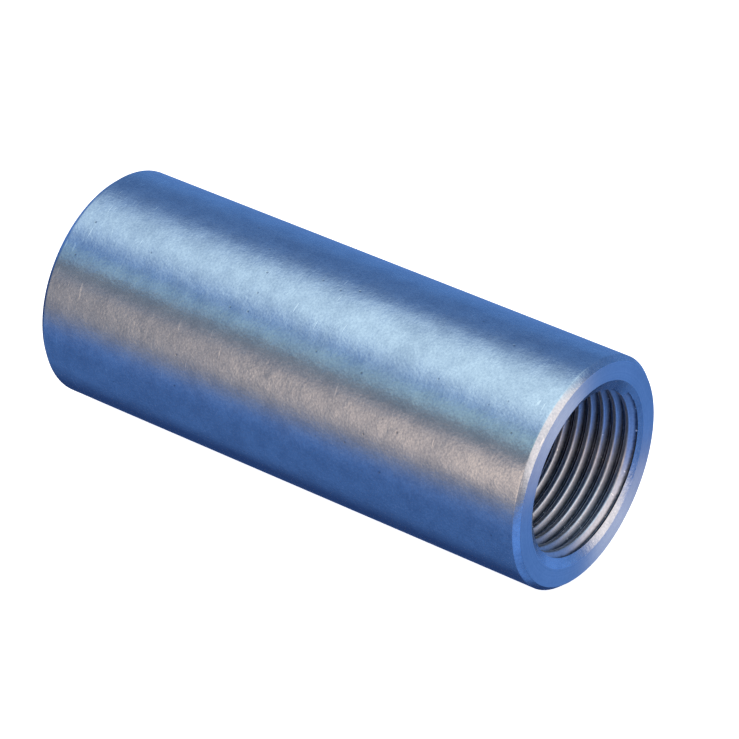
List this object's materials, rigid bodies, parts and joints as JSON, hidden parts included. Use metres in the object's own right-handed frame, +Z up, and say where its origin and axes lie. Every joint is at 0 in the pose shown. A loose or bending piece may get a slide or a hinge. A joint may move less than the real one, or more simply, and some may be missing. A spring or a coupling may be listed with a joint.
{
  "type": "threaded sleeve coupler",
  "caption": "Plain round steel sleeve with a fine right-hand thread right through its bore, countersunk mouths and chamfered outer edges; joins threaded bars end to end.",
  "frame": {"origin": "on the bore's axis, in the middle of the sleeve's length", "axes": "+X along the bore, +Z up; the sleeve lies on its side"},
  "size_m": [0.08, 0.033, 0.033],
  "materials": {
    "satin_steel": "bright satin turned steel with a fine grain"
  },
  "bodies": {
    "root": {"sleeve": "satin_steel"}
  },
  "joints": []
}
